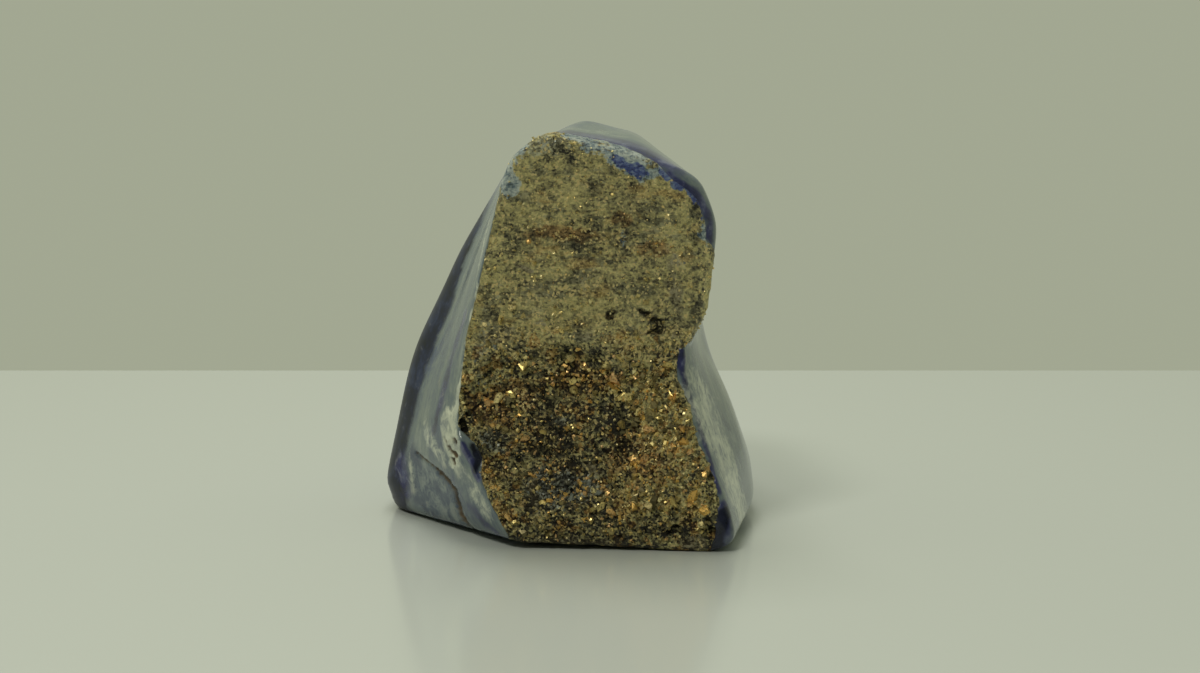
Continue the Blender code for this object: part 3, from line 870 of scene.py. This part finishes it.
# Glints and metal stay off the painted shade as well as off the bare rock.
bare_rock_and_shade = most(tree, stained["pale"], stained["blue"], shaded, in_dip)
ore_outside_shade = calc(tree, "SUBTRACT", 1.0, bare_rock_and_shade)
glint_amount = blend(tree, (facet.outputs[1], 1.0), (painted(tree, "gold"), 0.20), (smudge, 0.5))
glint = calc(tree, "MULTIPLY", between(tree, glint_amount, 1.15, 1.18), ore_outside_shade)
crust_colour = mix(tree, glint, crust_colour, GLINT)
print("crust colour:", len(tree.nodes), "nodes")

# %% [markdown]
# ## Polished lapis
# Lapis is deep blue lazurite between layers and veins of white calcite, with flecks of pyrite.
# Here the layers stand parallel to the raw face, so on the sides they run as stripes along its
# edge. The coordinates are squeezed before the noise that picks the colour, which stretches its
# forms into those layers. Next to the raw end the stone is greyer, partly its own grey and partly
# a painted pale reflection. Streaks of deeper blue, chalk and brown are laid over it where they
# were painted; the chalk along the left edge of the raw face is a painted highlight, and the navy
# band is partly a painted dark reflection.

# %% Lapis colours
LAPIS = (
    (0.34, (0.012, 0.018, 0.075)),
    (0.44, (0.026, 0.045, 0.170)),
    (0.51, (0.065, 0.105, 0.240)),
    (0.58, (0.170, 0.225, 0.285)),
    (0.68, (0.400, 0.430, 0.390)),
)
# Ashen is partly the stone's own grey and partly a painted pale reflection.
ASHEN_AND_PALE_REFLECTION = (
    (0.38, (0.070, 0.095, 0.150)),
    (0.47, (0.140, 0.180, 0.190)),
    (0.53, (0.190, 0.230, 0.205)),
    (0.62, (0.330, 0.370, 0.315)),
)
VIOLET_BLUE = (
    (0.40, (0.014, 0.014, 0.060)),
    (0.50, (0.032, 0.034, 0.130)),
    (0.60, (0.130, 0.145, 0.260)),
)
# Navy is partly dark lapis and partly a painted dark reflection.
NAVY_AND_DARK_REFLECTION = (
    (0.40, (0.004, 0.006, 0.014)),
    (0.50, (0.008, 0.012, 0.038)),
    (0.60, (0.024, 0.036, 0.090)),
)
# Chalk is white calcite, and along the left edge of the raw face a painted highlight.
CHALK_AND_HIGHLIGHT = (
    (0.38, (0.210, 0.240, 0.260)),
    (0.49, (0.570, 0.600, 0.490)),
    (0.60, (0.820, 0.840, 0.670)),
)
SLATE = (
    (0.40, (0.024, 0.038, 0.090)),
    (0.49, (0.066, 0.096, 0.142)),
    (0.59, (0.240, 0.280, 0.270)),
)
BROWN = ((0.40, (0.030, 0.020, 0.012)), (0.60, (0.130, 0.085, 0.040)))
INK = ((0.40, (0.004, 0.005, 0.012)), (0.60, (0.016, 0.020, 0.045)))
PYRITE = (0.550, 0.430, 0.180)

print("lapis ramps from", len(LAPIS), "stops of blue to", len(ASHEN_AND_PALE_REFLECTION), "of ashen stone")

# %% Layers of the polished stone
layered = add(tree, "ShaderNodeMapping", i0=where)
layered.inputs["Rotation"].default_value = (math.radians(8), 0.0, math.radians(-5))
layered.inputs["Scale"].default_value = (0.3, 1.0, 0.3)
layer_tone = cloud(tree, layered.outputs[0], 7.0, detail=8.0, roughness=0.66, distortion=0.8)
fine_layers = cloud(tree, layered.outputs[0], 1.5, detail=6.0, roughness=0.7, distortion=0.4)
mottle = cloud(tree, where, 2.6, detail=8.0, roughness=0.7, distortion=0.6)
lapis_tone = blend(tree, (layer_tone, 0.50), (fine_layers, 0.22), (mottle, 0.28))
lapis_colour = ramp(tree, lapis_tone, LAPIS)
# The ashen front is partly the stone's own grey and partly a painted pale reflection.
ashen_reflection_amount = blend(tree, (painted(tree, "ashen_and_pale_reflection"), 1.0), (layer_tone, 1.5), (mottle, 1.0))
ashen_reflection_share = calc(tree, "MULTIPLY", between(tree, ashen_reflection_amount, 1.45, 2.05), 0.9)
lapis_colour = mix(tree, ashen_reflection_share, lapis_colour, ramp(tree, lapis_tone, ASHEN_AND_PALE_REFLECTION))
print("with the lapis layers:", len(tree.nodes), "nodes")

# %% Lay the streaks over the stone
# The mottle and the fine layers break the streaks up. Later ones lie over earlier ones.
STREAK_COLOURS = (
    ("slate", SLATE, 0.9),
    ("navy_and_dark_reflection", NAVY_AND_DARK_REFLECTION, 1.0),
    ("deep", VIOLET_BLUE, 0.9),
    ("chalk_and_highlight", CHALK_AND_HIGHLIGHT, 0.9),
    ("ink", INK, 1.0),
    ("brown", BROWN, 1.0),
)
drift_cloud = cloud(tree, where, 5.5, detail=4.0, roughness=0.6)
vein_tone = blend(tree, (fine_layers, 0.20), (mottle, 0.55), (drift_cloud, 0.50), (1.0, -0.125))
veined = {}
for layer, stops, strength in STREAK_COLOURS:
    amount = blend(tree, (painted(tree, layer), 1.0), (mottle, 1.5), (fine_layers, 0.6))
    veined[layer] = calc(tree, "MULTIPLY", between(tree, amount, 1.15, 1.85), strength)
    lapis_colour = mix(tree, veined[layer], lapis_colour, ramp(tree, vein_tone, stops))
print("streak colours:", list(veined))

# %% Pyrite flecks
# A fleck is the middle of a Voronoi cell. Only some cells have one, and those lie in swarms.
fleck = cells(tree, where, 0.9)
fleck_fray = cloud(tree, where, 0.5, detail=2.0)
fleck_pick = add(tree, "ShaderNodeSeparateColor", i0=fleck.outputs["Color"])
swarm = cloud(tree, layered.outputs[0], 9.0, detail=3.0)
fleck_size = blend(tree, (fleck.outputs["Distance"], 1.0), (fleck_fray, 0.6), (swarm, -0.5))
fleck_chance = blend(tree, (fleck_pick.outputs[0], 0.5), (swarm, 1.0), (ashen_reflection_share, -0.2))
fleck_chosen = between(tree, fleck_chance, 0.98, 1.02)
fleck_here = calc(tree, "MULTIPLY", between(tree, fleck_size, 0.30, 0.22), fleck_chosen)
lapis_colour = mix(tree, fleck_here, lapis_colour, PYRITE)
print("lapis colour:", len(tree.nodes), "nodes")

# %% Mix the polish and the crust
crust_edge = blend(tree, (painted(tree, "crust"), 1.0), (speckle, 0.4))
crusted = between(tree, crust_edge, 0.62, 0.78)
crust_metal = blend(tree, (ore_outside_shade, 0.35), (glint, 0.4))
metal = blend(tree, (crusted, crust_metal), (fleck_here, 0.8))
# The navy band is rougher and gleams less, as part of its painted dark reflection.
polish_rough = blend(
    tree,
    (mottle, 0.14),
    (veined["navy_and_dark_reflection"], 0.20),
    (veined["brown"], 0.40),
    (painted(tree, "crust"), 0.5),
    (1.0, 0.07),
)
crust_rough = blend(tree, (speckle, 0.3), (facet.outputs[2], 0.4), (1.0, 0.15))
rough = add(tree, "ShaderNodeMix", i0=crusted, i2=polish_rough, i3=crust_rough)
# Less gleam on the crust where painted shade lies, and in the navy band, as part of its painted
# dark reflection.
crust_in_painted_shade = calc(tree, "MULTIPLY", crusted, most(tree, shaded, in_dip))
gleam = blend(tree, (crust_in_painted_shade, -0.42), (veined["navy_and_dark_reflection"], -0.32), (1.0, 0.5))
tree.links.new(mix(tree, crusted, lapis_colour, crust_colour), shader.inputs["Base Color"])
tree.links.new(metal, shader.inputs["Metallic"])
tree.links.new(rough.outputs[0], shader.inputs["Roughness"])
tree.links.new(gleam, shader.inputs["Specular IOR Level"])
shader.inputs["IOR"].default_value = 1.55

# %% Bump
grit = cloud(tree, where, 0.3, detail=4.0, roughness=0.8)
grit_height = calc(tree, "MULTIPLY", crusted, grit)
bump = add(tree, "ShaderNodeBump", i0=1.0, Height=grit_height)
bump.inputs["Distance"].default_value = 0.60 * MM
tree.links.new(bump.outputs[0], shader.inputs["Normal"])
stone.data.materials.clear()
stone.data.materials.append(finish)
print("stone finish:", len(tree.nodes), "nodes")

# %% [markdown]
# ## Pyrite grains
# The brightest spots of the crust are single crystals and broken chips of pyrite, gold, straw,
# copper or grey, with flat faces that catch the light. Four of them are modelled as primitives
# with a few faces each, and then laid down by the thousand. Each grain gets its own size, turn
# and tint. Small grains sit half in the crust all over it. Broad chips lie deeper, in groups,
# and keep off the edge of the crust. A seeded draw gives the same heap every time.

# %% Model four grains
KNOCKED = 0.17


def grain_shape(squash):
    """Flattens the new primitive, knocks its corners about, and keeps its points and faces."""
    model = bpy.context.object
    bpy.ops.object.mode_set(mode="EDIT")
    bpy.ops.transform.resize(value=squash)
    bpy.ops.transform.vertex_random(offset=KNOCKED, seed=len(GRAINS))
    bpy.ops.object.mode_set(mode="OBJECT")
    points = np.array([tuple(point.co) for point in model.data.vertices])
    faces = [tuple(face.vertices) for face in model.data.polygons]
    bpy.data.objects.remove(model)
    return points, faces


bpy.ops.object.select_all(action="DESELECT")
GRAINS = []
bpy.ops.mesh.primitive_cube_add(size=0.9)
GRAINS.append(grain_shape((1.0, 0.8, 0.8)))
bpy.ops.mesh.primitive_ico_sphere_add(subdivisions=1, radius=0.6)
GRAINS.append(grain_shape((1.0, 0.8, 0.6)))
bpy.ops.mesh.primitive_cone_add(vertices=5, radius1=0.6, radius2=0.42, depth=0.5)
GRAINS.append(grain_shape((1.1, 0.8, 0.7)))
bpy.ops.mesh.primitive_cone_add(vertices=4, radius1=0.55, radius2=0.2, depth=0.8)
GRAINS.append(grain_shape((1.2, 0.7, 0.8)))
print("grain faces:", [len(faces) for _, faces in GRAINS])


# %% Where grains are wanted
# The chance of a grain on each face comes from the painted layers. Grains keep clear of the base
# and of the crust's edge, broad chips more so, because they reach further. Sizes are millimetres.
GROUP_SIZE = 3.0
GRAIN_FOOT = 1.6
GRAIN_MARGIN = 0.25
CHIP_FOOT = 2.2
CHIP_MARGIN = 1.0

count = len(stone.data.polygons)
centres, normals, areas = np.zeros(count * 3), np.zeros(count * 3), np.zeros(count)
stone.data.polygons.foreach_get("center", centres)
stone.data.polygons.foreach_get("normal", normals)
stone.data.polygons.foreach_get("area", areas)
centres, normals = centres.reshape(-1, 3), normals.reshape(-1, 3)
first_points = np.array([face.vertices[0] for face in stone.data.polygons])
on_face = {name: values[first_points] for name, values in layers.items()}
margin = inward[first_points]
groups = np.array([noise.noise(Vector(centre) / (GROUP_SIZE * MM)) for centre in centres])
wanted = 0.40 + 0.8 * on_face["gold"] + 0.6 * on_face["rust"] + 0.5 * on_face["rough"]
wanted *= (on_face["crust"] > 0.8) * (1.0 - 0.8 * on_face["shade"]) * (1.0 - 0.7 * on_face["tan"])
wanted *= 1.0 - 0.9 * np.maximum(on_face["pale"], on_face["blue"])
wanted *= (centres[:, 2] > GRAIN_FOOT * MM) & (margin > GRAIN_MARGIN)
grouped = soft_edge(groups + 0.3 * on_face["gold"], 0.0, 0.35)
chips_wanted = wanted * (0.15 + on_face["rough"]) * grouped
chips_wanted *= (centres[:, 2] > CHIP_FOOT * MM) & (margin > CHIP_MARGIN)
print("faces that may get a grain:", int((wanted > 0).sum()))

# %% Lay the grains
GRAIN_SEED = 11
SMALL_GRAINS = 4800
BROAD_CHIPS = 440
LEAN = 0.7
SCATTER = 0.12
GREY_TINT = 0.12
STRAW_TINT = 0.15
COPPER_TINTS = (0.75, 0.95)

draw = np.random.default_rng(GRAIN_SEED)
tints, all_points, all_faces = [], [], []


def pick_tint(face, low):
    """A grain's place on the TINTS ramp: copper, grey, or dull to bright straw."""
    copper = (0.10 + max(0.0, groups[face]) * 0.7) * low + on_face["rust"][face] * 0.35
    pick = draw.uniform()
    if pick < copper:
        return draw.uniform(*COPPER_TINTS)
    if pick > 1.0 - on_face["grey"][face] * 0.6:
        return draw.uniform(0.0, GREY_TINT)
    brightness = draw.beta(0.9, 1.6 - 0.7 * on_face["gold"][face])
    return STRAW_TINT + 0.13 * (1.0 - low) + 0.45 * brightness


def lay_grains(number, chance, shapes, usual, largest, lift):
    """Lays grains where chance is high, of a usual and a largest size in millimetres.

    The lift is how far a grain's middle is above the crust, as a share of its size.
    """
    chance = chance * areas
    for face in draw.choice(count, number, p=chance / chance.sum()):
        low = on_face["rough"][face]
        size = min(draw.lognormal(math.log(usual * (1.0 + 0.35 * low)), 0.42), largest) * MM
        outward = Vector(normals[face])
        facing = (Vector(draw.normal(0.0, LEAN, 3)) + outward).to_track_quat("Z", "Y").to_matrix()
        turn = facing @ Matrix.Rotation(draw.uniform(0, 6.28), 3, "Z")
        points, faces = shapes[draw.integers(len(shapes))]
        middle = centres[face] + draw.normal(0.0, SCATTER, 3) * MM
        middle += np.array(outward) * size * draw.uniform(lift - 0.15, lift + 0.15)
        stretched = points * size * draw.uniform(0.6, 1.35, 3)
        first = sum(map(len, all_points))
        all_points.append(stretched @ np.array(turn).T + middle)
        all_faces.extend(tuple(corner + first for corner in loop) for loop in faces)
        tints.extend([pick_tint(face, low)] * len(points))


lay_grains(SMALL_GRAINS, wanted, GRAINS, 0.26, 0.9, 0.0)
lay_grains(BROAD_CHIPS, chips_wanted, GRAINS[1:], 0.95, 1.9, -0.14)
print("grains:", SMALL_GRAINS + BROAD_CHIPS, "with", len(all_faces), "faces")

# %% Join the grains
grain_mesh = bpy.data.meshes.new("pyrite_grains")
grain_mesh.from_pydata(np.vstack(all_points).tolist(), [], all_faces)
tint_layer = grain_mesh.attributes.new("tint", "FLOAT", "POINT")
tint_layer.data.foreach_set("value", np.array(tints, np.float32))
grains = bpy.data.objects.new("pyrite_grains", grain_mesh)
bpy.context.scene.collection.objects.link(grains)
print("the heap has", len(grain_mesh.vertices), "points")

# %% Grain finish
TINTS = (
    (0.05, (0.22, 0.24, 0.21)),
    (0.15, (0.14, 0.12, 0.06)),
    (0.30, (0.42, 0.34, 0.14)),
    (0.45, (0.76, 0.60, 0.22)),
    (0.62, (0.95, 0.84, 0.44)),
    (0.75, (0.80, 0.50, 0.12)),
    (0.92, (0.78, 0.50, 0.22)),
)
TARNISH = (0.070, 0.055, 0.028)

grain_finish = bpy.data.materials.new("pyrite")
grain_finish.use_nodes = True
tree = grain_finish.node_tree
shader = tree.nodes["Principled BSDF"]
where = add(tree, "ShaderNodeTexCoord").outputs["Object"]
film = cloud(tree, where, 0.35, detail=3.0, roughness=0.7)
grain_colour = ramp(tree, painted(tree, "tint"), TINTS)
grain_colour = mix(tree, between(tree, film, 0.50, 0.66), grain_colour, TARNISH)
tree.links.new(grain_colour, shader.inputs["Base Color"])
tree.links.new(blend(tree, (film, 0.4), (1.0, 0.21)), shader.inputs["Roughness"])
shader.inputs["Metallic"].default_value = 0.6
grains.data.materials.append(grain_finish)
print("grain finish:", len(tree.nodes), "nodes")

# %% [markdown]
# ## Finish
# The dressed copy stands for the CAD solid, which stays hidden for collision, and rides on the
# stone's only body.

# %% Finish
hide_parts("lapis_freeform")
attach(stone, "root")
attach(grains, "root")
